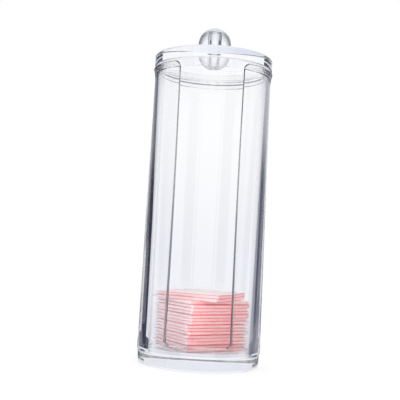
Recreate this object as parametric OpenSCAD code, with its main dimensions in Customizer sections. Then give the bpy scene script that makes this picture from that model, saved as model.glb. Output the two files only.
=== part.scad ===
// Clear moulded dispenser for square cosmetic pads: an open-fronted tube bonded
// to a solid base disc, a lift-off lid with a ball knob, and a stack of pads inside.
// Millimetres, +Z up, origin at the centre of the underside, slot facing -Y.

/* [Base] */
// How far the base disc stands in from the outside of the tube
base_inset = 0.5; // [0:0.1:2]
// Thickness of the base disc
base_h = 8; // [5:0.1:16]
// Radius of the rounded lower edge of the base
base_edge_r = 1.6; // [0.4:0.1:3]
// Radius of the rounded upper edge of the base
base_seam_r = 0.5; // [0.2:0.1:1]
// Height of the step on the base, which stands in the foot of the tube
step_h = 1.9; // [0.5:0.1:4]
// Gap between the step and the tube, all round
step_clearance = 0.15; // [0.05:0.05:0.4]

/* [Tube] */
// Height of the tube, from the base to the rim
tube_h = 167.4; // [120:0.1:220]
// Outer diameter of the tube at the base
tube_bottom_d = 73.2; // [64:0.2:95]
// Outer diameter of the tube below its flared rim
tube_top_d = 70.4; // [62:0.2:90]
// Wall of the tube at the base
wall_bottom = 6.3; // [3:0.1:7]
// Wall of the tube just below the ledge that carries the lid
wall_top = 2.7; // [2.4:0.1:4]
// How far the rim flares out beyond the tube
rim_flare = 0.9; // [0.4:0.1:1.5]
// Height over which the rim flares out
flare_h = 6; // [3:0.5:12]
// Width of the ledge inside the rim that carries the lid
ledge_w = 1.5; // [1:0.1:2]
// Depth of the ledge below the rim
ledge_depth = 3.2; // [2:0.1:8]
// Radius of the rounded outer edge of the rim
rim_edge_r = 0.7; // [0.2:0.1:0.9]

/* [Slot] */
// Width of the dispensing slot in the front of the tube
slot_w = 36.4; // [24:0.2:46]
// Height of the sill left between the base and the slot
sill_h = 5.1; // [2.5:0.1:20]
// Radius of the two lower corners of the slot
slot_corner_r = 2.5; // [0.5:0.1:8]
// Radius that eases the slot out into the rim
slot_lip_r = 4; // [1:0.1:6]

/* [Lid] */
// Gap between the rim and the lid plate
lid_gap = 1.2; // [0.4:0.1:3]
// How far the lid plate stands in from the outside of the rim
lid_inset = 0.5; // [0:0.1:1.5]
// Thickness of the lid plate
lid_t = 7.2; // [4:0.1:14]
// Radius of the rounded upper edge of the lid plate
lid_top_r = 1.4; // [0.3:0.1:2]
// Radius of the rounded lower edge of the lid plate
lid_low_r = 0.5; // [0.2:0.1:0.8]
// Wall of the lid's ring, which stands on the ledge
ring_wall = 1.4; // [1:0.1:5]
// Gap between the lid's ring and the inside of the rim, all round
ring_clearance = 0.35; // [0.2:0.05:0.6]

/* [Knob] */
// Diameter of the ball knob
knob_d = 20; // [16:0.5:30]
// Slice taken off the foot of the ball, where it is bonded to the lid
knob_cut = 1.1; // [0.9:0.1:4]
// Diameter of the blind bore in the knob
knob_bore_d = 5.8; // [3:0.1:7]
// Clear plastic left between the bore's end and the top of the knob
knob_cap_t = 4; // [2:0.1:8]
// Gap between the lid's spigot and the knob's bore, all round
spigot_clearance = 0.15; // [0.05:0.05:0.4]
// Space left above the spigot in the knob's bore
spigot_end_gap = 1; // [0.5:0.1:5]

/* [Pads] */
// Thickness of one pad
pad_t = 1.9; // [1:0.02:4]
// Gap between a pad's corners and the tube at the base
pad_clearance = 1.9; // [1.2:0.1:8]
// Corner radius of a pad
pad_corner_r = 2.5; // [1:0.1:8]
// How far a pad may lie off the tube's axis
pad_wander = 0.5; // [0:0.05:0.8]
// Angle of the stack's front corner, towards +X
pad_turn = -11.2; // [-45:0.1:45]
// Angle of the front corner of the loose top pads, towards +X
pad_top_turn = 18.4; // [-45:0.1:45]
// Number of loose pads on top of the stack
pad_loose = 2; // [0:1:5]
// How unevenly the pads are turned, either way
pad_turn_spread = 1.6; // [0:0.1:5]

/* [Hidden] */
pad_names = [for (i = [1 : 17]) str("pad_", i < 10 ? "0" : "", i)];
$fn = 96;

// Levels and radii that several pieces share
cut = 1;
floor_z = base_h + step_h;
rim_z = base_h + tube_h;
ledge_z = rim_z - ledge_depth;
plate_z = rim_z + lid_gap;
lid_z = plate_z + lid_t;
flare_top_z = rim_z - rim_edge_r;
flare_z = flare_top_z - flare_h;
sill_z = base_h + sill_h;
base_r = tube_bottom_d / 2 - base_inset;
bore_bottom_r = tube_bottom_d / 2 - wall_bottom;
bore_top_r = tube_top_d / 2 - wall_top;
rim_r = tube_top_d / 2 + rim_flare;
rim_bore_r = bore_top_r + ledge_w;
lid_r = rim_r - lid_inset;
ring_r = rim_bore_r - ring_clearance;
knob_z = lid_z + knob_d / 2 - knob_cut;
knob_bore_depth = knob_d - knob_cut - knob_cap_t;
spigot_h = knob_bore_depth - spigot_end_gap;
spigot_d = knob_bore_d - 2 * spigot_clearance;

// A pad's corners stop short of the tube by the pad clearance
pad_reach = bore_bottom_r - pad_clearance;
pad_side = sqrt(2) * (pad_reach + pad_corner_r * (sqrt(2) - 1));
square_turn = 45;
wander_step = 137.5;
spread_step = 97;

clear_plastic = [0.86, 0.92, 0.97, 0.45];
pad_pink = [0.95, 0.66, 0.66];

// Half outline of a disc, for turning: outer radius r, from z0 up to z1, both outer edges rounded
module disc_outline(r, z0, z1, low_r, top_r) {
    translate([0, z0]) square([r - low_r, z1 - z0]);
    translate([0, z0]) square([r - top_r, z1 - z0]);
    translate([0, z0 + low_r]) square([r, z1 - z0 - low_r - top_r]);
    translate([r - low_r, z0 + low_r]) circle(low_r);
    translate([r - top_r, z1 - top_r]) circle(top_r);
}

// Half outline of the tube's wall: it thickens towards the base, and flares at the rim outside
module tube_outline() {
    difference() {
        polygon([
            [bore_bottom_r, base_h],
            [tube_bottom_d / 2, base_h],
            [tube_top_d / 2, flare_z],
            [rim_r, flare_z],
            [rim_r, rim_z],
            [rim_bore_r, rim_z],
            [rim_bore_r, ledge_z],
            [bore_top_r, ledge_z]
        ]);
        flare_cove();
        rim_easing();
    }
}

// The hollow curve below the flared rim, which runs out of the tube's side
module flare_cove() {
    r = (flare_h * flare_h + rim_flare * rim_flare) / (2 * rim_flare);
    translate([tube_top_d / 2 + r, flare_z]) circle(r);
}

// What the rounded outer edge takes away from the rim's corner
module rim_easing() {
    r = rim_edge_r;
    difference() {
        translate([rim_r - r, rim_z - r]) square(r + cut);
        translate([rim_r - r, rim_z - r]) circle(r);
    }
}

// Front outline of the slot: rounded lower corners, and lips that ease out into the rim
module slot_outline() {
    translate([-slot_w / 2, sill_z + slot_corner_r]) square([slot_w, rim_z - sill_z]);
    translate([slot_corner_r - slot_w / 2, sill_z]) square([slot_w - 2 * slot_corner_r, tube_h / 2]);
    for (side = [-1, 1]) {
        translate([side * (slot_w / 2 - slot_corner_r), sill_z + slot_corner_r]) circle(slot_corner_r);
        slot_lip(side);
    }
}

// The eased corner on one side of the slot, cut from the rim
module slot_lip(side) {
    reach = slot_w / 2 + slot_lip_r;
    difference() {
        translate([side * slot_w / 2 - (side < 0 ? slot_lip_r : 0), rim_z - slot_lip_r])
            square([slot_lip_r, slot_lip_r + cut]);
        translate([side * reach, rim_z - slot_lip_r]) circle(slot_lip_r);
    }
}

module base() {
    color(clear_plastic) {
        rotate_extrude() disc_outline(base_r, 0, base_h, base_edge_r, base_seam_r);
        cylinder(h = floor_z, r = bore_bottom_r - step_clearance);
    }
}

module tube() {
    color(clear_plastic) difference() {
        rotate_extrude() tube_outline();
        rotate([90, 0, 0]) linear_extrude(tube_bottom_d) slot_outline();
    }
}

module lid() {
    color(clear_plastic) {
        rotate_extrude() disc_outline(lid_r, plate_z, lid_z, lid_low_r, lid_top_r);
        translate([0, 0, ledge_z]) difference() {
            cylinder(h = plate_z - ledge_z, r = ring_r);
            translate([0, 0, -cut]) cylinder(h = plate_z - ledge_z + cut, r = ring_r - ring_wall);
        }
        translate([0, 0, lid_z]) cylinder(h = spigot_h, d = spigot_d);
    }
}

module knob() {
    color(clear_plastic) difference() {
        translate([0, 0, knob_z]) sphere(d = knob_d);
        translate([0, 0, lid_z - knob_d]) cylinder(h = knob_d, d = 2 * knob_d);
        translate([0, 0, lid_z - cut]) cylinder(h = knob_bore_depth + cut, d = knob_bore_d);
    }
}

// Plan of a pad: a square with rounded corners
module pad_outline() {
    inner = pad_side - 2 * pad_corner_r;
    square([pad_side, inner], center = true);
    square([inner, pad_side], center = true);
    for (x = [-1, 1], y = [-1, 1])
        translate([x * inner / 2, y * inner / 2]) circle(pad_corner_r);
}

// One pad of the stack, counted from the base, each turned and shifted a little by its place
module pad(level) {
    loose = level >= len(pad_names) - pad_loose;
    turn = (loose ? pad_top_turn : pad_turn) + pad_turn_spread * sin(spread_step * level);
    color(pad_pink)
        translate([
            pad_wander * cos(wander_step * level),
            pad_wander * sin(wander_step * level),
            floor_z + level * pad_t
        ])
        rotate([0, 0, square_turn + turn])
        linear_extrude(pad_t) pad_outline();
}

base();
tube();
lid();
knob();
for (level = [0 : len(pad_names) - 1])
    pad(level);
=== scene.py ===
import math

import bmesh
import bpy
from mathutils import Matrix, Vector, noise


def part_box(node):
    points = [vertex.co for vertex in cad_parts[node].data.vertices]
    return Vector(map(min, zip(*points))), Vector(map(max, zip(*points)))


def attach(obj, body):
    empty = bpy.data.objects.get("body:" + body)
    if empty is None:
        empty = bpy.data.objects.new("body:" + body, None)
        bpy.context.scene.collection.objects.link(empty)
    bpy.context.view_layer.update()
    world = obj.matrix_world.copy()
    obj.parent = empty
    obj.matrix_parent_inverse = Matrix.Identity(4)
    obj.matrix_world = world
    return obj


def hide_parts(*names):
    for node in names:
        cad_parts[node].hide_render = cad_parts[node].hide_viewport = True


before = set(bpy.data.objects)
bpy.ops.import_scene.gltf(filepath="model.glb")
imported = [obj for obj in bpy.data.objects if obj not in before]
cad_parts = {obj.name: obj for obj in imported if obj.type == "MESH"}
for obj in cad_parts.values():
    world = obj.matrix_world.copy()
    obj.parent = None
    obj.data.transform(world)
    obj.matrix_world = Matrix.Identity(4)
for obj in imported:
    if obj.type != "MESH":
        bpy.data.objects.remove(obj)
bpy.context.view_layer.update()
scene = bpy.context.scene
mm = 0.001
print("frame loaded:", len(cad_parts), "nodes")


class Wire:
    # a node socket that can be used in Python sums
    def __init__(self, tree, socket=None):
        self.tree = tree
        self.socket = socket

    def plug(self, target, value):
        if isinstance(value, Wire):
            self.tree.links.new(value.socket, target)
        elif value is not None:
            target.default_value = value

    def make(self, nodeType, settings=None, inputs=None, output=0):
        node = self.tree.nodes.new(nodeType)
        for key, value in (settings or {}).items():
            setattr(node, key, value)
        for key, value in (inputs or {}).items():
            self.plug(node.inputs[key], value)
        return Wire(self.tree, node.outputs[output] if node.outputs else None)

    def sum(self, operation, first, second=None):
        return self.make("ShaderNodeMath", {"operation": operation}, {0: first, 1: second})

    def __add__(self, other):
        return self.sum("ADD", self, other)

    def __radd__(self, other):
        return self.sum("ADD", other, self)

    def __sub__(self, other):
        return self.sum("SUBTRACT", self, other)

    def __rsub__(self, other):
        return self.sum("SUBTRACT", other, self)

    def __mul__(self, other):
        return self.sum("MULTIPLY", self, other)

    def __rmul__(self, other):
        return self.sum("MULTIPLY", other, self)

    def __truediv__(self, other):
        return self.sum("DIVIDE", self, other)

    def __rtruediv__(self, other):
        return self.sum("DIVIDE", other, self)

    def __gt__(self, other):
        return self.sum("GREATER_THAN", self, other)

    def blend(self, low, high):
        # a colour between two, by this value
        mix = {"data_type": "RGBA", "clamp_factor": True}
        return self.make("ShaderNodeMix", mix, {"Factor": self, 6: low, 7: high}, 2)

    def step(self, start, end):
        # 0 below start, 1 above end, smooth between
        ramp = {"Value": self, "From Min": start, "From Max": end}
        return self.make("ShaderNodeMapRange", {"interpolation_type": "SMOOTHSTEP"}, ramp)

    def cloud(self, scale, detail):
        # soft noise at this place
        return self.make("ShaderNodeTexNoise", None, {"Vector": self, "Scale": scale, "Detail": detail})

    def parts(self):
        # the three parts of a vector
        node = self.make("ShaderNodeSeparateXYZ", None, {0: self}).socket.node
        return [Wire(self.tree, output) for output in node.outputs]


def newMaterial(name):
    material = bpy.data.materials.new(name)
    material.use_nodes = True
    material.node_tree.nodes.clear()
    return material, Wire(material.node_tree)


def colour(r, g, b):
    return (r, g, b, 1.0)


# camera
cameraSetup = {
    "lens": 68.97,
    "sensor": 36.0,
    "clipStart": 10 * mm,
    "distance": 462.4 * mm,
    "eyeHeight": 70.3 * mm,
    "pitchUp": math.radians(3.36),
    "orbit": math.radians(1.38),
    "turnLeft": math.radians(0.484),
    "roll": math.radians(3.12),
}


def placeCamera():
    setup = cameraSetup
    data = bpy.data.cameras.new("camera")
    data.lens = setup["lens"]
    data.sensor_width = setup["sensor"]
    data.clip_start = setup["clipStart"]
    orbit, pitch, roll = setup["orbit"], setup["pitchUp"], setup["roll"]
    turn = orbit + setup["turnLeft"]
    ahead = Vector((-math.sin(turn), math.cos(turn), 0))
    right = Vector((math.cos(turn), math.sin(turn), 0))
    up = Vector((0, 0, 1))
    look = ahead * math.cos(pitch) + up * math.sin(pitch)
    top = up * math.cos(pitch) - ahead * math.sin(pitch)
    side = right * math.cos(roll) + top * math.sin(roll)
    top = top * math.cos(roll) - right * math.sin(roll)
    camera = bpy.data.objects.new("camera", data)
    place = Matrix((side, top, -look)).transposed().to_4x4()
    away = setup["distance"]
    place.translation = Vector((away * math.sin(orbit), -away * math.cos(orbit), setup["eyeHeight"]))
    camera.matrix_world = place
    scene.collection.objects.link(camera)
    scene.camera = camera


placeCamera()
scene.view_settings.view_transform = "Standard"
scene.cycles.max_bounces = 32
scene.cycles.transmission_bounces = 32
scene.cycles.glossy_bounces = 16
print("camera placed")


# studio: white all round, and a dim room with pale cards that only mirrored rays see
# each pair is the slope of a ray where a tone starts and ends to change
studio = {
    "white": colour(1.0, 1.0, 1.0),
    "ambientFront": colour(0.85, 0.83, 0.83),
    "ambientSide": colour(1.98, 1.9, 1.9),
    "ambientSideFrom": (0.3, 0.85),
    "ambientTop": colour(1.4, 1.37, 1.37),
    "ambientTopFrom": (0.4, 0.85),
    "hazeLow": colour(0.90, 0.91, 0.945),
    "hazeRise": (-0.05, 0.15),
    "hazeLeft": colour(0.99, 0.99, 0.995),
    "hazeSide": 0.12,
    "split": 0.3,
    "dimLeft": colour(0.028, 0.032, 0.06),
    "dimRight": colour(0.06, 0.07, 0.11),
    "riseLeft": colour(0.19, 0.195, 0.235),
    "riseRight": colour(0.45, 0.455, 0.50),
    "leftRise": (0.03, 0.09),
    "rightRise": (0.035, 0.12),
    "highLeft": colour(0.45, 0.46, 0.52),
    "highRight": colour(0.95, 0.95, 0.97),
    "highRise": (0.22, 0.38),
}


def rayKinds(wire):
    # whether a ray was bent in the plastic, mirrored in it, or scattered
    path = wire.make("ShaderNodeLightPath").socket.node
    names = ("Transmission Depth", "Glossy Depth", "Diffuse Depth")
    return [Wire(wire.tree, path.outputs[name]) > 0.5 for name in names]


def sideShade(lean, tone, wire):
    # a little darker to the left, as in the photograph
    left = 1 - lean.step(-studio["hazeSide"], 0.0)
    dark = {"data_type": "RGBA", "blend_type": "MULTIPLY"}
    return wire.make("ShaderNodeMix", dark, {"Factor": left, 6: tone, 7: studio["hazeLeft"]}, 2)


def buildWorld():
    world = bpy.data.worlds.new("studio")
    scene.world = world
    world.use_nodes = True
    world.node_tree.nodes.clear()
    wire = Wire(world.node_tree)
    bent, mirrored, scattered = rayKinds(wire)
    x, y, z = wire.make("ShaderNodeTexCoord").parts()
    haze = z.step(*studio["hazeRise"]).blend(studio["hazeLow"], studio["white"])
    haze = sideShade(x, haze, wire)
    toRight = x.step(-studio["split"], studio["split"])
    left = z.step(*studio["leftRise"]).blend(studio["dimLeft"], studio["riseLeft"])
    right = z.step(*studio["rightRise"]).blend(studio["dimRight"], studio["riseRight"])
    high = toRight.blend(studio["highLeft"], studio["highRight"])
    dim = z.step(*studio["highRise"]).blend(toRight.blend(left, right), high)
    room = bent.blend(studio["white"], haze)
    room = mirrored.blend(room, dim)
    toSide = wire.sum("ABSOLUTE", x).step(*studio["ambientSideFrom"])
    ambient = toSide.blend(studio["ambientFront"], studio["ambientSide"])
    ambient = z.step(*studio["ambientTopFrom"]).blend(ambient, studio["ambientTop"])
    room = scattered.blend(room, ambient)
    back = wire.make("ShaderNodeBackground", None, {"Color": room, "Strength": 1.0})
    wire.make("ShaderNodeOutputWorld", None, {"Surface": back})


# floor: each pair is where a soft edge starts and ends
floorSetup = {
    "size": 8.0,
    "drop": 0.2 * mm,
    "tone": colour(0.93, 0.93, 0.94),
    "glow": 0.8,
    "shadowReach": (0.1, 0.6),
    "hazeNear": colour(0.76, 0.76, 0.83),
    "hazeReach": (0.08, 0.35),
    "rightTone": colour(0.185, 0.19, 0.23),
    "rightReach": (0.14, 0.24),
    "split": 0.1,
    "crossReach": (0.138, 0.102),
    "crossHalf": (0.0495, 0.0405),
    "discReach": (0.066, 0.054),
    "besideX": (0.04, 0.05),
    "besideY": (0.0, 0.012),
}


def buildFloor():
    setup = floorSetup
    half, drop = setup["size"] / 2, -setup["drop"]
    mesh = bpy.data.meshes.new("floor")
    corners = [(-half, -half, drop), (half, -half, drop), (half, half, drop), (-half, half, drop)]
    mesh.from_pydata(corners, [], [(0, 1, 2, 3)])
    floor = bpy.data.objects.new("floor", mesh)
    scene.collection.objects.link(floor)
    material, wire = newMaterial("paleFloor")
    bent, mirrored, scattered = rayKinds(wire)
    spot = wire.make("ShaderNodeNewGeometry")
    x, y, z = spot.parts()
    reach = wire.make("ShaderNodeVectorMath", {"operation": "LENGTH"}, {0: spot}, "Value")
    near = wire.sum("MINIMUM", wire.sum("ABSOLUTE", x), wire.sum("ABSOLUTE", y))
    right = reach.step(*setup["rightReach"]).blend(setup["rightTone"], studio["dimRight"])
    dim = x.step(-setup["split"], setup["split"]).blend(studio["dimLeft"], right)
    # mirrored rays see a white cross and disc under the object, but not at its sides behind
    lit = reach.step(*setup["crossReach"]) * near.step(*setup["crossHalf"])
    lit = wire.sum("MAXIMUM", lit, reach.step(*setup["discReach"]))
    beside = wire.sum("ABSOLUTE", x).step(*setup["besideX"]) * y.step(*setup["besideY"])
    lit = lit * (1 - beside)
    dim = lit.blend(dim, studio["white"])
    haze = reach.step(*setup["hazeReach"]).blend(setup["hazeNear"], studio["hazeLow"])
    haze = sideShade(x / reach, haze, wire)
    tone = bent.blend(studio["white"], haze)
    tone = mirrored.blend(tone, dim)
    # paint takes the shadow near the object, and the rest is lit
    glow = setup["glow"] + (1 - setup["glow"]) * reach.step(*setup["shadowReach"])
    glow = wire.sum("MAXIMUM", wire.sum("MAXIMUM", mirrored, bent), glow) * (1 - scattered)
    paint = wire.make("ShaderNodeBsdfDiffuse", None, {"Color": setup["tone"]})
    light = wire.make("ShaderNodeEmission", None, {"Color": tone, "Strength": 1.0})
    both = wire.make("ShaderNodeMixShader", None, {0: glow, 1: paint, 2: light})
    wire.make("ShaderNodeOutputMaterial", None, {"Surface": both})
    mesh.materials.append(material)


# cards: each pair is where a soft edge starts and ends
cards = {
    "distance": 100 * mm,
    "halfWidth": 62 * mm,
    "foot": 1 * mm,
    "height": 350 * mm,
    "shade": colour(0.76, 0.79, 0.89),
    "shadeEdge": (20 * mm, -20 * mm),
    "shadeHigh": (161.5 * mm, 178.5 * mm),
    "lowTone": colour(0.82, 0.82, 0.88),
    "low": (32.5 * mm, 17.5 * mm),
    "leftTone": colour(0.93, 0.935, 0.96),
    "leftBack": colour(0.05, 0.055, 0.09),
    "rightTone": colour(0.97, 0.97, 0.98),
    "rightBack": colour(0.34, 0.35, 0.40),
    "sideSplit": (8.4 * mm, 15.6 * mm),
    "sideDark": colour(0.03, 0.032, 0.045),
    "sideHigh": (200 * mm, 208 * mm),
    "wing": colour(0.78, 0.785, 0.82),
    "leftWingStart": (22 * mm, 26 * mm),
    "leftWingEnd": (46 * mm, 52 * mm),
    "leftWingFrom": 85 * mm,
    "leftWingLean": 0.24,
    "leftEnd": 108 * mm,
    "backWingStart": (-61 * mm, -63 * mm),
    "backWingHigh": (58 * mm, 66 * mm),
    "backEnd": 76 * mm,
}


def showMirrored(wire, tone, hide):
    # light that only mirrored rays see
    mirrored, scattered = rayKinds(wire)[1:]
    light = wire.make("ShaderNodeEmission", None, {"Color": tone, "Strength": 1.0})
    clear = wire.make("ShaderNodeBsdfTransparent")
    seen = mirrored * (1 - scattered) * (1 - hide)
    both = wire.make("ShaderNodeMixShader", None, {0: seen, 1: clear, 2: light})
    wire.make("ShaderNodeOutputMaterial", None, {"Surface": both})


def addStage(name, mesh, material):
    mesh.materials.append(material)
    piece = bpy.data.objects.new(name, mesh)
    scene.collection.objects.link(piece)
    return piece


def addCard(name, paint, bearing, start, end):
    # paint gives a card's tone, and where it is cut away, from x across and z up
    material, wire = newMaterial(name)
    x, y, z = wire.make("ShaderNodeTexCoord", None, None, "Object").parts()
    showMirrored(wire, *paint(wire, x, z))
    foot, top = cards["foot"], cards["height"]
    corners = [(start, 0, foot), (end, 0, foot), (end, 0, top), (start, 0, top)]
    mesh = bpy.data.meshes.new(name)
    mesh.from_pydata(corners, [], [(0, 1, 2, 3)])
    card = addStage(name, mesh, material)
    card.rotation_euler.z = math.radians(bearing)
    card.location = Matrix.Rotation(card.rotation_euler.z, 3, "Z") @ Vector((0, cards["distance"], 0))


def paintBack(wire, x, z):
    atFoot = z.step(*cards["low"])
    atTop = z.step(*cards["shadeHigh"]) * x.step(*cards["shadeEdge"])
    tone = atTop.blend(atFoot.blend(studio["white"], cards["lowTone"]), cards["shade"])
    # a low wing on its left
    wing = x.step(*cards["backWingStart"])
    return wing.blend(tone, cards["wing"]), wing * z.step(*cards["backWingHigh"])


def paintSide(x, z, front, back):
    # pale beside the tube's front half, darker behind it and above the lid
    tone = x.step(*cards["sideSplit"]).blend(front, back)
    return z.step(*cards["sideHigh"]).blend(tone, cards["sideDark"])


def paintLeft(wire, x, z):
    tone = paintSide(x, z, cards["leftTone"], cards["leftBack"])
    # a wing at its back, wider at the top, that only lights what is mirrored inside the plastic
    bent = rayKinds(wire)[0]
    wing = x.step(*cards["leftWingStart"]) * bent
    past = x - wire.sum("MAXIMUM", z - cards["leftWingFrom"], 0.0) * cards["leftWingLean"]
    return wing.blend(tone, cards["wing"]), past.step(*cards["leftWingEnd"])


def paintRight(wire, x, z):
    return paintSide(-1 * x, z, cards["rightTone"], cards["rightBack"]), 0.0


def paintFront(wire, x, z):
    return studio["white"], 0.0


def buildCards():
    half = cards["halfWidth"]
    addCard("backCard", paintBack, 0, -cards["backEnd"], half)
    addCard("leftCard", paintLeft, 90, -half, cards["leftEnd"])
    addCard("frontCard", paintFront, 180, -half, half)
    addCard("rightCard", paintRight, 270, -half, half)


# rings: height, width of a streak, and where on its wave it turns dark
shelves = {
    "lid": (135 * mm, 9.6 * mm, -0.85),
    "base": (36 * mm, 21 * mm, -0.15),
    "inner": 105 * mm,
    "outer": 450 * mm,
    "steps": 96,
    "soft": 0.7,
    "pale": colour(0.85, 0.86, 0.92),
    "dark": colour(0.04, 0.045, 0.07),
}


def addShelf(name, height, every, darkFrom, faceUp):
    # a streaked ring seen from one side and only by mirrored rays, which puts painted reflections of pale
    # and dark streaks on the ends of the lid or the base
    material, wire = newMaterial(name)
    spot = wire.make("ShaderNodeNewGeometry")
    x, y, z = spot.parts()
    reach = wire.sum("SQRT", x * x + y * y)
    wave = wire.sum("SINE", reach * (2 * math.pi / every))
    tone = wave.step(darkFrom, darkFrom + shelves["soft"]).blend(shelves["pale"], shelves["dark"])
    showMirrored(wire, tone, Wire(wire.tree, spot.socket.node.outputs["Backfacing"]))
    steps, verts, faces = shelves["steps"], [], []
    for i in range(steps):
        angle = 2 * math.pi * i / steps
        for radius in (shelves["inner"], shelves["outer"]):
            verts.append((radius * math.cos(angle), radius * math.sin(angle), height))
        j = (i + 1) % steps
        face = (2 * i, 2 * i + 1, 2 * j + 1, 2 * j)
        faces.append(face if faceUp else face[::-1])
    mesh = bpy.data.meshes.new(name)
    mesh.from_pydata(verts, [], faces)
    addStage(name, mesh, material)


keyLamp = {
    "place": (-0.4, -0.3, 0.9),
    "aim": (0, 0, 0.08),
    "size": 0.5,
    "power": 0.25,
    "tint": (1.0, 0.98, 0.96),
}


def addLamp(name, setup):
    data = bpy.data.lights.new(name, "AREA")
    data.shape = "DISK"
    data.size = setup["size"]
    data.energy = setup["power"]
    data.color = setup["tint"]
    lamp = bpy.data.objects.new(name, data)
    lamp.location = setup["place"]
    aim = Vector(setup["aim"]) - Vector(setup["place"])
    lamp.rotation_euler = aim.to_track_quat("-Z", "Y").to_euler()
    lamp.visible_glossy = False
    lamp.visible_transmission = False
    scene.collection.objects.link(lamp)


buildWorld()
buildFloor()
buildCards()
addShelf("lidShelf", *shelves["lid"], True)
addShelf("baseShelf", *shelves["base"], False)
addLamp("keyLamp", keyLamp)
print("studio built")


# finishes
clearPlastic = {
    "tint": colour(0.985, 0.99, 1.0),
    # painted shade at the outline, and where it fades out near the top
    "paintedOutlineShade": colour(0.06, 0.07, 0.095),
    "outlineShadeFade": (201.8 * mm, 196.5 * mm),
    "rimSlant": (0.12, 0.55),
    "ballDark": 0.95,
    "ior": 1.49,
    "haze": 0.01,
    "hazeFrom": (0.55, 0.8),
    "flowScale": 28.0,
    "flowDepth": 0.01 * mm,
    "absorb": colour(0.80, 0.86, 0.97),
    "density": 2.0,
}


def makeClearPlastic(name, edgeDark, solid):
    # edgeDark is how far a piece takes painted shade towards its outline, standing for dark reflections at
    # a slant and lifted near the top as painted light; a solid one is tinted in its depth
    finish = clearPlastic
    material, wire = newMaterial(name)
    place = wire.make("ShaderNodeTexCoord", None, None, "Object")
    flow = place.cloud(finish["flowScale"], 1.0)
    relief = {"Strength": 1.0, "Distance": finish["flowDepth"], "Height": flow}
    bump = wire.make("ShaderNodeBump", None, relief)
    skin = {
        "Base Color": finish["tint"],
        "Roughness": flow.step(*finish["hazeFrom"]) * finish["haze"],
        "IOR": finish["ior"],
        "Transmission Weight": 1.0,
        "Normal": bump,
    }
    # painted shade: the colour darkens at a slant near the outline, less near the top
    if edgeDark:
        facing = wire.make("ShaderNodeLayerWeight", None, {"Blend": 0.5}, "Facing")
        x, y, z = place.parts()
        rim = facing.step(*finish["rimSlant"]) * z.step(*finish["outlineShadeFade"]) * edgeDark
        skin["Base Color"] = rim.blend(finish["tint"], finish["paintedOutlineShade"])
    surface = wire.make("ShaderNodeBsdfPrincipled", None, skin)
    body = None
    if solid:
        inside = {"Color": finish["absorb"], "Density": finish["density"]}
        body = wire.make("ShaderNodeVolumeAbsorption", None, inside)
    wire.make("ShaderNodeOutputMaterial", None, {"Surface": surface, "Volume": body})
    return material


# painted shade for the slot's sides and the rim's line: dark at a slant, standing for dark reflections
slantShade = {
    "tone": colour(0.06, 0.065, 0.095),
    "paler": colour(0.12, 0.13, 0.17),
    # painted reflection of the pads' pink, low in the tube
    "paintedPadPink": colour(0.14, 0.05, 0.075),
    "padTop": (46 * mm, 38 * mm),
    "highFade": 0.26,
    "highFrom": (70 * mm, 115 * mm),
    "lowFade": 0.15,
    "lowFrom": (40 * mm, 14 * mm),
    "grain": 600.0,
    "grainFrom": (0.4, 0.8),
    "roughness": 0.5,
    "sideSlant": (0.55, 0.8),
    "sideDarkness": 0.74,
    "rimSlant": (-0.2, 0.2),
    "rimDarkness": 0.66,
    "rimShadeLine": (0.15 * mm, 0.6 * mm),
}


def makeSlantShade(name, slantFrom, darkness):
    # clear when faced and painted dark at a slant, a painted shade standing for dark reflections in the
    # edge; fainter up the tube and beside the pads, whose pink it takes on as a painted reflection
    finish = slantShade
    material, wire = newMaterial(name)
    place = wire.make("ShaderNodeTexCoord", None, None, "Object")
    grain = place.cloud(finish["grain"], 2.0)
    clear = wire.make("ShaderNodeBsdfPrincipled", None, {
        "Base Color": clearPlastic["tint"],
        "Roughness": 0.0,
        "IOR": clearPlastic["ior"],
        "Transmission Weight": 1.0,
    })
    x, y, z = place.parts()
    tone = grain.step(*finish["grainFrom"]).blend(finish["tone"], finish["paler"])
    dark = wire.make("ShaderNodeBsdfPrincipled", None, {
        "Base Color": z.step(*finish["padTop"]).blend(tone, finish["paintedPadPink"]),
        "Roughness": finish["roughness"],
        "Specular IOR Level": 0.0,
    })
    facing = wire.make("ShaderNodeLayerWeight", None, {"Blend": 0.5}, "Facing")
    slant = facing.step(*slantFrom) * darkness
    slant = slant * (1 - finish["highFade"] * z.step(*finish["highFrom"]))
    slant = slant * (1 - finish["lowFade"] * z.step(*finish["lowFrom"]))
    both = wire.make("ShaderNodeMixShader", None, {0: slant, 1: clear, 2: dark})
    wire.make("ShaderNodeOutputMaterial", None, {"Surface": both})
    return material


cotton = {
    # the pressed sides' pale pink: partly their own tone, partly painted light where the lamp doesn't
    # reach
    "palePressedAndLit": colour(0.98, 0.80, 0.82),
    "paleCut": colour(0.96, 0.60, 0.61),
    # shaded tones for the painted shade in the gaps between pads
    "shadedPressed": colour(0.67, 0.38, 0.44),
    "shadedCut": colour(0.82, 0.14, 0.17),
    "tip": colour(0.93, 0.90, 0.91),
    "streakAlong": 70.0,
    "streakAcross": 1300.0,
    "streakShare": 0.9,
    "fibreScale": 2600.0,
    "fibreShare": 0.3,
    "fibrePile": 0.4,
    "loftScale": 420.0,
    "loftShare": 0.5,
    "loftDepth": 0.25 * mm,
}


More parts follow.
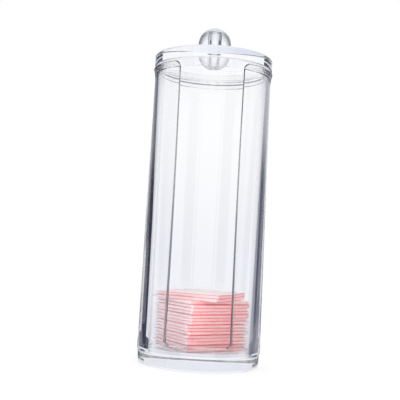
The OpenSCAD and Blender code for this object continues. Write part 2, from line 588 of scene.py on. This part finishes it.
def makeCotton():
    # the pad tone attribute holds how cut each point is, how much painted shade of the gap between pads it
    # takes, and how near a pale tip it is
    finish = cotton
    material, wire = newMaterial("cotton")
    painted = wire.make("ShaderNodeAttribute", {"attribute_name": "padToneAndShade"}, None, "Vector")
    cut, gap, tip = painted.parts()
    place = wire.make("ShaderNodeTexCoord", None, None, "Object")
    along, across = finish["streakAlong"], finish["streakAcross"]
    squeezed = wire.make("ShaderNodeMapping", None, {0: place, "Scale": (along, along, across)})
    streak = squeezed.cloud(1.0, 2.0)
    fibre = place.cloud(finish["fibreScale"], 2.0)
    loft = place.cloud(finish["loftScale"], 3.0)
    # painted shade in the gaps between pads, with random streaks, fibre and loft
    shadeAndStreak = gap + (streak - 0.5) * finish["streakShare"]
    shadeAndStreak = shadeAndStreak + (fibre - 0.5) * finish["fibreShare"] + (loft - 0.5) * finish["loftShare"]
    pressed = shadeAndStreak.blend(finish["palePressedAndLit"], finish["shadedPressed"])
    sliced = shadeAndStreak.blend(finish["paleCut"], finish["shadedCut"])
    tone = tip.blend(cut.blend(pressed, sliced), finish["tip"])
    pile = loft + fibre * finish["fibrePile"]
    relief = {"Strength": 0.5, "Distance": finish["loftDepth"], "Height": pile}
    bump = wire.make("ShaderNodeBump", None, relief)
    skin = {
        "Base Color": tone,
        "Roughness": 0.95,
        "Specular IOR Level": 0.1,
        "Sheen Weight": 0.3,
        "Sheen Roughness": 0.5,
        "Normal": bump,
    }
    surface = wire.make("ShaderNodeBsdfPrincipled", None, skin)
    wire.make("ShaderNodeOutputMaterial", None, {"Surface": surface})
    return material


wallFinish = makeClearPlastic("clearWall", 0.0, False)
solidFinish = makeClearPlastic("clearSolid", 0.0, True)
# painted shade on the slot's sides and a painted dark line along the rim
sideShadeFinish = makeSlantShade("slotSideShade", slantShade["sideSlant"], slantShade["sideDarkness"])
rimShadeFinish = makeSlantShade("rimShadeLine", slantShade["rimSlant"], slantShade["rimDarkness"])
ballFinish = makeClearPlastic("clearBall", clearPlastic["ballDark"], True)
cottonFinish = makeCotton()
print("finishes made")


# mesh helpers
sharpAbove = math.radians(50)


def arc(centreR, centreZ, radius, fromAngle, toAngle, steps):
    # points of a round edge in the r, z plane, angles in degrees from +r
    points = []
    for i in range(steps + 1):
        angle = math.radians(fromAngle + (toAngle - fromAngle) * i / steps)
        points.append((centreR + radius * math.cos(angle), centreZ + radius * math.sin(angle)))
    return points


def newPiece(name, mesh, finish, body, node):
    for face in mesh.polygons:
        face.use_smooth = True
    mesh.materials.append(finish)
    piece = bpy.data.objects.new(name, mesh)
    scene.collection.objects.link(piece)
    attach(piece, body)
    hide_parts(node)
    return piece


def newClearPiece(name, mesh, finish, body, node):
    mesh.set_sharp_from_angle(angle=sharpAbove)
    piece = newPiece(name, mesh, finish, body, node)
    piece.modifiers.new("edgeNormals", "WEIGHTED_NORMAL").keep_sharp = True


def turned(outline, steps=256):
    # spins an outline of (r, z) points, from the axis round to the axis, into a closed mesh
    verts, faces, rings = [], [], []
    for r, z in outline:
        if r < 1e-9:
            rings.append([len(verts)] * steps)
            verts.append((0, 0, z))
        else:
            rings.append(list(range(len(verts), len(verts) + steps)))
            for i in range(steps):
                angle = 2 * math.pi * i / steps
                verts.append((r * math.cos(angle), r * math.sin(angle), z))
    for low, high in zip(rings, rings[1:]):
        for i in range(steps):
            j = (i + 1) % steps
            corners = [low[i], low[j], high[j], high[i]]
            faces.append(list(dict.fromkeys(corners)))
    mesh = bpy.data.meshes.new("turned")
    mesh.from_pydata(verts, [], faces)
    return mesh


# clear pieces
baseLow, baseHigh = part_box("base")
tubeLow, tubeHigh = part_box("tube")
lidLow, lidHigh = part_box("lid")
knobLow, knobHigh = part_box("knob")
airFilm = 0.03 * mm  # between pieces that touch

baseShape = {
    "lowEdge": 1.6 * mm,
    "highEdge": 0.5 * mm,
    "stepRadius": 30.15 * mm,
    "stepEdge": 0.2 * mm,
}


def buildBase():
    radius, step = baseHigh.x, baseShape["stepRadius"]
    shoulder, top = tubeLow.z - airFilm, baseHigh.z - airFilm
    low, high, edge = baseShape["lowEdge"], baseShape["highEdge"], baseShape["stepEdge"]
    outline = [(0, 0), (radius / 2, 0)]
    outline += arc(radius - low, low, low, -90, 0, 10)
    outline += arc(radius - high, shoulder - high, high, 0, 90, 6)
    outline += [(step + edge, shoulder), (step, shoulder)]
    outline += arc(step - edge, top - edge, edge, 0, 90, 4)
    outline += [(step / 2, top), (0, top)]
    newClearPiece("clearBase", turned(outline), solidFinish, "container", "base")


tubeShape = {
    "bottomWall": 6.3 * mm,
    "topWall": 2.7 * mm,
    "topRadius": 35.2 * mm,
    "flare": 0.9 * mm,
    "flareHeight": 6.0 * mm,
    "rimEdge": 0.7 * mm,
    "ledge": 1.5 * mm,
    "ledgeDepth": 3.2 * mm,
    "ledgeSlope": 0.2 * mm,
    "slotHalf": 18.2 * mm,
    "slotBow": 0.5 * mm,
    "sill": 5.1 * mm,
    "corner": 2.5 * mm,
    "plainCorner": 0.75 * mm,
    "lip": 4.0 * mm,
    "edge": 0.4 * mm,
    "easedAbove": math.radians(35),
    "backSteps": 220,
    "frontSteps": 36,
    "cornerRows": 8,
    "sideRows": 12,
    "flareRows": 4,
    "rimRows": 14,
}
rimZ = tubeHigh.z
flareTopZ = rimZ - tubeShape["rimEdge"]
flareZ = flareTopZ - tubeShape["flareHeight"]
ledgeZ = rimZ - tubeShape["ledgeDepth"]
sillZ = tubeLow.z + tubeShape["sill"]


def tubeOuter(z):
    shape = tubeShape
    top, edge = shape["topRadius"], shape["rimEdge"]
    flare, height = shape["flare"], shape["flareHeight"]
    if z <= flareZ:
        share = (z - tubeLow.z) / (flareZ - tubeLow.z)
        return tubeHigh.x + (top - tubeHigh.x) * share
    if z <= flareTopZ:
        cove = (height * height + flare * flare) / (2 * flare)
        return top + cove - math.sqrt(cove * cove - (z - flareZ) ** 2)
    return top + flare - edge + math.sqrt(max(edge * edge - (z - flareTopZ) ** 2, 0))


def tubeInner(z, aboveLedge):
    shape = tubeShape
    top = shape["topRadius"] - shape["topWall"]
    if aboveLedge:
        return top + shape["ledge"]
    bottom = tubeHigh.x - shape["bottomWall"]
    return bottom + (top - bottom) * (z - tubeLow.z) / (ledgeZ - tubeLow.z)


def slotHalfWidth(z):
    half, corner, lip = tubeShape["slotHalf"], tubeShape["corner"], tubeShape["lip"]
    middle = (rimZ + sillZ) / 2
    half -= tubeShape["slotBow"] * (1 - ((z - middle) / (rimZ - middle)) ** 2)
    drop = sillZ + corner - z
    rise = z - (rimZ - lip)
    if drop > 0:
        return half - corner + math.sqrt(max(corner * corner - drop * drop, 0))
    if rise > 0:
        return half + lip - math.sqrt(max(lip * lip - rise * rise, 0))
    return half


def tubeRows():
    # heights of the mesh rows from the sill up, each with a flag for above the ledge
    shape = tubeShape
    cornerTop = sillZ + shape["corner"]
    ledgeFoot = ledgeZ - shape["ledgeSlope"]
    corner, side = shape["cornerRows"], shape["sideRows"]
    flare, rim = shape["flareRows"], shape["rimRows"]
    levels = [cornerTop - shape["corner"] * math.cos(math.pi / 2 * i / corner) for i in range(corner)]
    levels += [cornerTop + (flareZ - cornerTop) * i / side for i in range(side)]
    levels += [flareZ + (ledgeFoot - flareZ) * i / flare for i in range(flare + 1)]
    rows = [(z, False) for z in levels]
    for i in range(rim + 1):
        rows.append((ledgeZ + (rimZ - ledgeZ) * math.sin(math.pi / 2 * i / rim), True))
    return rows


def edgeKind(spot):
    # 1 on the slot's sides, the rim and the outer edge of the foot, which take the painted slant shade, 2
    # along the rim's outer line, which takes a painted dark line
    edge = tubeShape["edge"]
    reach = math.hypot(spot.x, spot.y)
    top, foot = slantShade["rimShadeLine"]
    if rimZ - foot < spot.z < rimZ - top and reach > tubeShape["topRadius"]:
        return 2
    straight = spot.z > sillZ + tubeShape["plainCorner"]
    besideSlot = abs(abs(spot.x) - slotHalfWidth(spot.z)) < edge and spot.y < 0 and straight
    onFoot = spot.z < tubeLow.z + edge and tubeHigh.x - edge < reach
    return int(spot.z > flareTopZ or besideSlot or onFoot)


def buildTube():
    shape = tubeShape
    rows = tubeRows()
    back, front = shape["backSteps"], shape["frontSteps"]
    mesh = bmesh.new()

    def arcRow(radius, z, fromAngle, toAngle, steps):
        row = []
        for i in range(steps + 1):
            angle = fromAngle + (toAngle - fromAngle) * i / steps
            row.append(mesh.verts.new((radius * math.sin(angle), -radius * math.cos(angle), z)))
        return row

    def backRow(radius, z):
        start = math.asin(slotHalfWidth(z) / radius)
        return arcRow(radius, z, start, 2 * math.pi - start, back)

    def ringRow(radius, z, edgeRow=None):
        # a full ring, that shares the back row of the sill's edge where there is one
        start = math.asin(slotHalfWidth(sillZ) / radius)
        rest = edgeRow or arcRow(radius, z, start, 2 * math.pi - start, back)
        gap = 2 * start / front
        return rest + arcRow(radius, z, gap - start, start - gap, front - 2) + [rest[0]]

    def wall(low, high):
        for i in range(len(low) - 1):
            mesh.faces.new((low[i], low[i + 1], high[i + 1], high[i]))

    outer = [backRow(tubeOuter(z), z) for z, above in rows]
    inner = [backRow(tubeInner(z, above), z) for z, above in rows]
    outerSill = ringRow(tubeOuter(sillZ), sillZ, outer[0])
    innerSill = ringRow(tubeInner(sillZ, False), sillZ, inner[0])
    outerFoot = ringRow(tubeOuter(tubeLow.z), tubeLow.z)
    innerFoot = ringRow(tubeInner(tubeLow.z, False), tubeLow.z)

    wall(outerFoot, outerSill)
    wall(innerSill, innerFoot)
    wall(innerFoot, outerFoot)
    wall(outerSill[back:], innerSill[back:])
    for i in range(len(rows) - 1):
        wall(outer[i], outer[i + 1])
        wall(inner[i + 1], inner[i])
        mesh.faces.new((outer[i][0], outer[i + 1][0], inner[i + 1][0], inner[i][0]))
        mesh.faces.new((outer[i + 1][-1], outer[i][-1], inner[i][-1], inner[i + 1][-1]))
    wall(outer[-1], inner[-1])
    bmesh.ops.recalc_face_normals(mesh, faces=mesh.faces)
    sharp = [e for e in mesh.edges if e.calc_face_angle() > shape["easedAbove"]]
    bmesh.ops.bevel(
        mesh, geom=sharp, offset=shape["edge"], offset_type="OFFSET", segments=3,
        profile=0.5, affect="EDGES", clamp_overlap=True,
    )
    for face in mesh.faces:
        face.material_index = edgeKind(face.calc_center_median())
    data = bpy.data.meshes.new("tubeWall")
    mesh.to_mesh(data)
    mesh.free()
    newClearPiece("clearTube", data, wallFinish, "container", "tube")
    data.materials.append(sideShadeFinish)
    data.materials.append(rimShadeFinish)


lidShape = {
    "gap": 1.2 * mm,
    "plate": 7.2 * mm,
    "topEdge": 1.4 * mm,
    "lowEdge": 0.5 * mm,
    "ringRadius": 33.65 * mm,
    "ringWall": 1.4 * mm,
    "ringEdge": 0.15 * mm,
    "spigotRadius": 2.75 * mm,
    "spigotEdge": 0.35 * mm,
}


def buildLid():
    shape = lidShape
    radius = lidHigh.x
    plateLow = rimZ + shape["gap"]
    plateHigh = plateLow + shape["plate"]
    ringFoot = lidLow.z + airFilm
    ringOut = shape["ringRadius"]
    ringIn = ringOut - shape["ringWall"]
    spigot, ease = shape["spigotRadius"], shape["spigotEdge"]
    edge, low, high = shape["ringEdge"], shape["lowEdge"], shape["topEdge"]
    outline = [(0, plateLow), (ringIn / 2, plateLow)]
    outline += arc(ringIn - edge, plateLow - edge, edge, 90, 0, 4)
    outline += arc(ringIn + edge, ringFoot + edge, edge, 180, 270, 4)
    outline += arc(ringOut - edge, ringFoot + edge, edge, -90, 0, 4)
    outline += arc(ringOut + edge, plateLow - edge, edge, 180, 90, 4)
    outline += arc(radius - low, plateLow + low, low, -90, 0, 5)
    outline += arc(radius - high, plateHigh - high, high, 0, 90, 10)
    outline += [(radius / 2, plateHigh)]
    outline += arc(spigot + ease, plateHigh + ease, ease, 270, 180, 4)
    outline += arc(spigot - 2 * ease, lidHigh.z - 2 * ease, 2 * ease, 0, 90, 6)
    outline += [(0, lidHigh.z)]
    newClearPiece("clearLid", turned(outline), solidFinish, "lid", "lid")


knobShape = {
    "radius": 10.0 * mm,
    "boreRadius": 2.9 * mm,
    "cap": 4.0 * mm,
    "boreEnd": 1.2 * mm,
    "edge": 0.3 * mm,
    "around": 192,
    "upward": 96,
    "lastAngle": 89.0,
}


def buildKnob():
    shape = knobShape
    radius, bore = shape["radius"], shape["boreRadius"]
    end, edge = shape["boreEnd"], shape["edge"]
    centre = knobHigh.z - radius
    foot = knobLow.z + airFilm
    boreTop = knobHigh.z - shape["cap"]
    outline = [(0, boreTop)]
    outline += arc(bore - end, boreTop - end, end, 90, 0, 8)
    outline += arc(bore + edge, foot + edge, edge, 180, 270, 4)
    lowest = math.degrees(math.asin((foot - centre) / radius))
    outline += arc(0, centre, radius, lowest, shape["lastAngle"], shape["upward"])
    outline += [(0, knobHigh.z)]
    newClearPiece("ballKnob", turned(outline, shape["around"]), ballFinish, "lid", "knob")


buildBase()
buildTube()
buildLid()
buildKnob()
print("clear pieces built")


# pads
padShape = {
    "count": 17,
    "corner": 2.5 * mm,
    "softCorner": 1.2 * mm,
    "turn": -11.2,
    "topTurn": 18.4,
    "loose": 2,
    "spread": 1.6,
    "spreadStep": 97.0,
    "squareTurn": 45.0,
    "around": 240,
    "flatRings": (0.25, 0.5, 0.75, 0.9, 0.96, 0.985, 1.0),
    "edgeSteps": 10,
    "bulge": 0.28 * mm,
    "pinch": 0.6,
    "pinchReach": 6.0 * mm,
    "pinchPower": 6,
    "endReach": 25.0 * mm,
    "endPower": 4,
    "rightEnd": 0.8,
    "rightEndTop": 0.15,
    "fringed": 9,
    "wave": 0.2 * mm,
    "waveScale": 45,
    "waveShift": 0.17,
    "fuzz": 0.05 * mm,
    "fuzzScale": 900,
    "fuzzShift": 3.1,
    # painted shade in the gaps between pads
    "deepShadeEvery": 3,
    "deepGapShade": 1.5,
    "plainGapShade": 0.8,
    "gapPower": 3,
    "cutFrom": 0.3,
    "cutOver": 0.4,
    "looseCut": 0.45,
    "upperFrom": 9,
    "upperTwist": 3.5,
    "borderPower": 30,
    "faceCut": 0.3,
    # painted light: the flat faces are paler, as a top face lit from above
    "paintedFaceLight": 0.7,
    "tipPale": 0.8,
    "tipPower": 8,
}


def padOutline(half, corner, around):
    # points round a square with rounded corners: place, outward way, and distance to the next corner
    straight = half - corner
    side, bend = 2 * straight, math.pi * corner / 2
    points = []
    for i in range(around):
        along = 4 * (side + bend) * i / around
        quarter = int(along // (side + bend))
        rest = along - quarter * (side + bend)
        if rest < side:
            x, y, nx, ny = half, rest - straight, 1.0, 0.0
        else:
            angle = (rest - side) / corner
            nx, ny = math.cos(angle), math.sin(angle)
            x, y = straight + corner * nx, straight + corner * ny
        middle = side + bend / 2
        toCorner = min(abs(rest - middle), rest + bend / 2)
        for step in range(quarter):
            x, y, nx, ny = -y, x, -ny, nx
        points.append((x, y, nx, ny, toCorner))
    return points


def isLoose(level):
    # the top pads lie loose on the stack
    return level >= padShape["count"] - padShape["loose"]


def padAngle(level):
    shape = padShape
    start = shape["topTurn"] if isLoose(level) else shape["turn"]
    wobble = shape["spread"] * math.sin(math.radians(shape["spreadStep"] * level))
    return math.radians(shape["squareTurn"] + start + wobble)


def gapShade(level):
    # how much painted shade the gap above a pad takes: every few pads there is a darker one
    deep = level % padShape["deepShadeEvery"] == 1
    return padShape["deepGapShade"] if deep else padShape["plainGapShade"]


def buildPad(level):
    shape = padShape
    nodeName = "pad_%02d" % (level + 1)
    low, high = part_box(nodeName)
    middle = (low + high) / 2
    halfThick = (high.z - low.z) / 2
    angle = padAngle(level)
    corner = shape["corner"]
    reach = abs(math.cos(angle)) + abs(math.sin(angle))
    half = ((high.x - low.x) / 2 - corner) / reach + corner
    outline = padOutline(half, shape["softCorner"], shape["around"])
    if level >= shape["upperFrom"] and not isLoose(level):
        angle += math.radians(shape["upperTwist"])
    count = len(outline)
    wave = shape["wave"] * level / shape["count"]
    rightEnd = shape["rightEnd"] if level < shape["fringed"] else shape["rightEndTop"]
    leastCut = shape["looseCut"] if isLoose(level) else 0
    cosA, sinA = math.cos(angle), math.sin(angle)
    verts, tones, ringStarts = [], [], []

    def place(x, y, z):
        wx, wy = middle.x + x * cosA - y * sinA, middle.y + x * sinA + y * cosA
        scale, shift = shape["waveScale"], shape["waveShift"]
        swell = noise.noise(Vector((wx * scale, wy * scale, level * shift))) * wave
        verts.append((wx, wy, middle.z + swell + z))

    def addRing(scale, pull, up):
        ringStarts.append(len(verts))
        # painted shade of the gap above or below this pad, strongest at its top and bottom edge
        gap = gapShade(level) if up > 0 else gapShade(level - 1)
        gap *= abs(up) ** shape["gapPower"]
        border = scale ** shape["borderPower"]
        fine, shift = shape["fuzzScale"], level * shape["fuzzShift"] + up
        for x, y, nx, ny, toCorner in outline:
            near = math.exp(-((toCorner / shape["pinchReach"]) ** 2))
            across = (x * cosA - y * sinA) / shape["endReach"]
            near *= min(1, abs(across)) ** shape["endPower"] * (1 if across < 0 else rightEnd)
            thin = 1 - shape["pinch"] * near * scale ** shape["pinchPower"]
            cut = min(1, max(leastCut, (ny * ny - shape["cutFrom"]) / shape["cutOver"]))
            cut = cut * border + shape["faceCut"] * (1 - border)
            inward = pull + shape["fuzz"] * noise.noise(Vector((x * fine, y * fine, shift)))
            place((x - nx * inward) * scale, (y - ny * inward) * scale, halfThick * up * thin)
            # the pale tips, and painted light on the flat faces
            tip = near * scale ** shape["tipPower"] * shape["tipPale"] + (1 - border) * shape["paintedFaceLight"]
            tones.append((cut, gap * border, tip, 1.0))

    flat = shape["flatRings"]
    # painted light on the flat faces, paler as a top lit from above
    faceTone = (shape["faceCut"], 0, shape["paintedFaceLight"], 1.0)
    place(0, 0, -halfThick)
    tones.append(faceTone)
    for scale in flat:
        addRing(scale, shape["bulge"], -1.0)
    for i in range(1, shape["edgeSteps"]):
        lean = math.radians(-90 + 180 * i / shape["edgeSteps"])
        addRing(1.0, shape["bulge"] * (1 - math.cos(lean)), math.sin(lean))
    for scale in reversed(flat):
        addRing(scale, shape["bulge"], 1.0)
    place(0, 0, halfThick)
    tones.append(faceTone)
    last = len(verts) - 1
    faces = []
    for i in range(count):
        j = (i + 1) % count
        faces.append((0, ringStarts[0] + j, ringStarts[0] + i))
        faces.append((last, ringStarts[-1] + i, ringStarts[-1] + j))
        for below, above in zip(ringStarts, ringStarts[1:]):
            faces.append((below + i, below + j, above + j, above + i))
    mesh = bpy.data.meshes.new("padMesh")
    mesh.from_pydata(verts, [], faces)
    tone = mesh.attributes.new("padToneAndShade", "FLOAT_COLOR", "POINT")
    tone.data.foreach_set("color", [part for entry in tones for part in entry])
    pieceName = "cottonPad%02d" % (level + 1)
    piece = newPiece(pieceName, mesh, cottonFinish, "container", nodeName)


for level in range(padShape["count"]):
    buildPad(level)
print("pads built")
